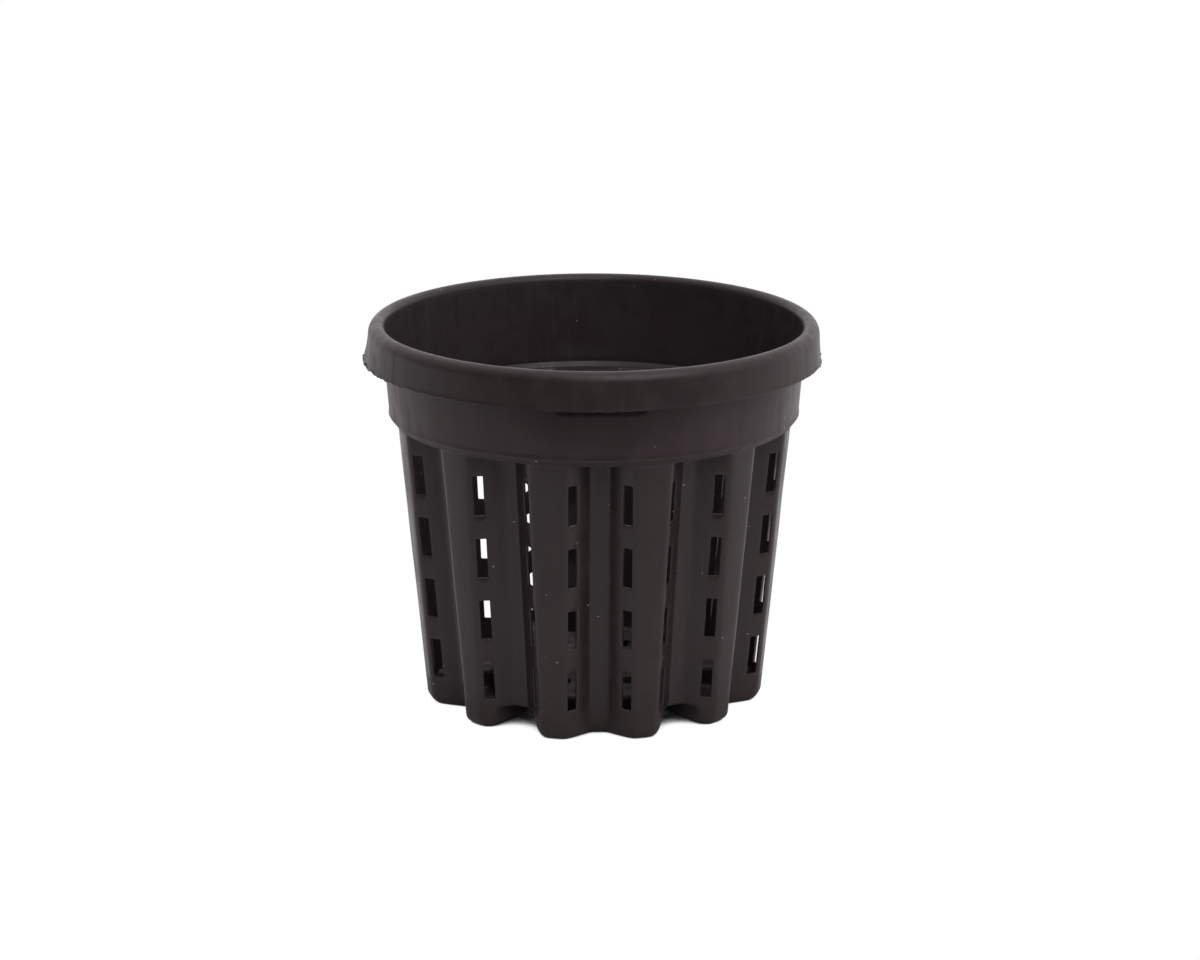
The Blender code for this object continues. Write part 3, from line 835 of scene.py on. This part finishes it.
def thicken(piece):
    """Gives a piece its wall, and rounds every sharp edge but those of the seams."""
    bpy.ops.object.select_all(action="DESELECT")
    piece.select_set(True)
    bpy.context.view_layer.objects.active = piece
    wall = piece.modifiers.new("wall", "SOLIDIFY")
    wall.thickness = WALL
    wall.offset = -1.0
    wall.use_even_offset = True
    wall.use_quality_normals = True
    bpy.ops.object.modifier_apply(modifier=wall.name)
    start_editing(piece, "EDGE")
    bpy.ops.mesh.edges_select_sharp(sharpness=SHARP_ANGLE)
    stop_editing()
    points = piece.data.vertices
    for edge in piece.data.edges:
        ends = [points[i].co for i in edge.vertices]
        for seam in (BASE_SEAM_Z, COLLAR_SEAM_Z, RIM_SEAM_Z):
            on_seam = all(abs(end.z - seam) < SEAM_MARGIN for end in ends)
            if on_seam and ends[0].xy.length < RIM_LEG_RADIUS:
                edge.select = False
    bpy.ops.object.mode_set(mode="EDIT")
    bpy.ops.mesh.bevel(offset=EDGE_ROUNDING, segments=EDGE_SEGMENTS, affect="EDGES", clamp_overlap=True)
    stop_editing()
    bpy.ops.object.shade_smooth_by_angle(angle=SMOOTH_ANGLE)


def make_pot():
    """Moulds the pot, divides it, and hides the nodes that its four pieces stand in for."""
    # Darker and paler colour, roughness where it is glossy and where it is dull, and the share of painted
    # shade on undersides
    materials = [
        recycled_polypropylene("base_polypropylene", "#241C1D", "#332A2A", 0.38, 0.46, 0.3),
        recycled_polypropylene("wall_polypropylene", "#231B1C", "#312829", 0.25, 0.33, 0.0),
        recycled_polypropylene("collar_polypropylene", "#261D1F", "#3C2F32", 0.34, 0.43, 0.42),
        recycled_polypropylene("rim_polypropylene", "#251D1F", "#372D2E", 0.36, 0.44, 0.0),
    ]
    sheet = lay_out_sheet(materials)
    turn_sheet_round()
    fill_floor(sheet)
    warp(sheet)
    names = {
        "base_polypropylene": "footed_base",
        "wall_polypropylene": "fluted_wall",
        "collar_polypropylene": "smooth_collar",
        "rim_polypropylene": "rolled_rim",
    }
    pieces = divide(sheet, names)
    for piece in pieces.values():
        thicken(piece)
        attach(piece, "root")
    flutes = sorted(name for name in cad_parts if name.startswith("flute_"))
    feet = sorted(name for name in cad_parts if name.startswith("foot_"))
    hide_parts("rim_lip")
    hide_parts("collar_band", "ledge_ring")
    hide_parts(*flutes)
    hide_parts(*feet, "drain_floor")


def make_floor():
    """The studio floor of matt white paper, which throws light back evenly and has no gloss.

    It is white to the eye and in reflections, apart from the pot's shadow. A darker table lies in front of
    it, outside the picture.
    """
    bpy.ops.object.select_all(action="DESELECT")
    bpy.ops.mesh.primitive_plane_add(size=FLOOR_SIZE, location=(0.0, 0.0, -FLOOR_GAP))
    floor = bpy.context.active_object
    floor.name = "studio_floor"
    material = bpy.data.materials.new("matt_white_paper")
    material.use_nodes = True
    tree = material.node_tree
    tree.nodes.remove(tree.nodes["Principled BSDF"])
    reach = {"Distance": SHADOW_REACH}
    open_sky = add_node(tree, "ShaderNodeAmbientOcclusion", {"samples": SHADOW_SAMPLES}, reach)["AO"]
    shadow = {"Value": open_sky, **span(SHADOW_DARK, SHADOW_LIGHT, SHADOW_LEVEL, 1.0)}
    lit = add_node(tree, "ShaderNodeMapRange", EASED, shadow)["Result"]
    place = add_node(tree, "ShaderNodeTexCoord", {}, {})["Object"]
    ahead = add_node(tree, "ShaderNodeSeparateXYZ", {}, {"Vector": place})["Y"]
    paper_edge = {"Value": ahead, **span(PAPER_END - PAPER_FADE, PAPER_END, TABLE_SHARE, PAPER_SHARE)}
    on_paper = add_node(tree, "ShaderNodeMapRange", EASED, paper_edge)["Result"]
    share = add_node(tree, "ShaderNodeMath", MULTIPLIED, {0: lit, 1: on_paper})[0]
    shaded = {0: srgb(PAPER_COLOUR)[:3], "Scale": share}
    colour = add_node(tree, "ShaderNodeVectorMath", {"operation": "SCALE"}, shaded)[0]
    paper = add_node(tree, "ShaderNodeBsdfDiffuse", {}, {"Color": colour})[0]
    ray = add_node(tree, "ShaderNodeLightPath", {}, {})
    to_camera = ray["Is Camera Ray"]
    mirrored = add_node(tree, "ShaderNodeMath", MULTIPLIED, {0: open_sky, 1: on_paper})[0]
    strength = add_node(tree, "ShaderNodeMix", {}, {0: to_camera, 2: mirrored, 3: lit})[0]
    hues = {0: to_camera, 6: srgb(REFLECTED_COLOUR), 7: srgb(WHITE)}
    hue = add_node(tree, "ShaderNodeMix", COLOURS, hues)[2]
    white = add_node(tree, "ShaderNodeEmission", {}, {"Color": hue, "Strength": strength})[0]
    seen = to_camera
    for kind in ("Is Glossy Ray", "Is Transmission Ray"):
        seen = add_node(tree, "ShaderNodeMath", LARGER, {0: seen, 1: ray[kind]})[0]
    choice = add_node(tree, "ShaderNodeMixShader", {}, {0: seen, 1: paper, 2: white})[0]
    tree.links.new(choice, tree.nodes["Material Output"].inputs["Surface"])
    floor.data.materials.append(material)


def make_camera():
    """The camera that the photograph was taken with, as far as its fit tells."""
    data = bpy.data.cameras.new("photo_camera")
    data.sensor_width = SENSOR_WIDTH
    data.lens = FOCAL_PIXELS * SENSOR_WIDTH / PHOTO_WIDTH
    camera = bpy.data.objects.new("photo_camera", data)
    heading = FRONT + CAMERA_TURN
    across = CAMERA_DISTANCE * math.cos(heading)
    back = CAMERA_DISTANCE * math.sin(heading)
    camera.location = (across, back, CAMERA_HEIGHT)
    level = Euler((math.pi / 2.0 - CAMERA_PITCH, 0.0, CAMERA_TURN + CAMERA_PAN)).to_matrix()
    camera.rotation_euler = (level @ Matrix.Rotation(CAMERA_ROLL, 3, "Z")).to_euler()
    bpy.context.scene.collection.objects.link(camera)
    bpy.context.scene.camera = camera


def add_softbox(name, location, size, power):
    """A square area light that faces the middle of the pot."""
    data = bpy.data.lights.new(name, "AREA")
    data.shape = "SQUARE"
    data.size = size
    data.energy = power
    light = bpy.data.objects.new(name, data)
    light.location = location
    aim = Vector((0.0, 0.0, POT_HEIGHT / 2.0)) - Vector(location)
    light.rotation_euler = aim.to_track_quat("-Z", "Y").to_euler()
    bpy.context.scene.collection.objects.link(light)


def light_studio():
    """A white studio: bright behind, beside and above the pot, and dimmer behind the camera."""
    scene = bpy.context.scene
    scene.view_settings.view_transform = "Standard"
    world = bpy.data.worlds.new("white_studio")
    scene.world = world
    world.use_nodes = True
    tree = world.node_tree
    heading = FRONT + CAMERA_TURN - BRIGHT_TURN
    ahead = (-math.cos(heading), -math.sin(heading), BRIGHT_TILT)
    direction = add_node(tree, "ShaderNodeTexCoord", {}, {})["Generated"]
    sides = {0: direction, 1: Vector(ahead).normalized()}
    facing = add_node(tree, "ShaderNodeVectorMath", DOT_PRODUCT, sides)["Value"]
    levels = {"Value": facing, **span(DIM_FACING, BRIGHT_FACING, DIM_SIDE, BRIGHT_SIDE)}
    level = add_node(tree, "ShaderNodeMapRange", EASED, levels)["Result"]
    background = tree.nodes["Background"].inputs
    background["Color"].default_value = srgb(STUDIO_COLOUR)
    tree.links.new(level, background["Strength"])
    add_softbox("front_softbox", SOFTBOX_PLACE, SOFTBOX_SIZE, SOFTBOX_POWER)


make_pot()
make_floor()
make_camera()
light_studio()
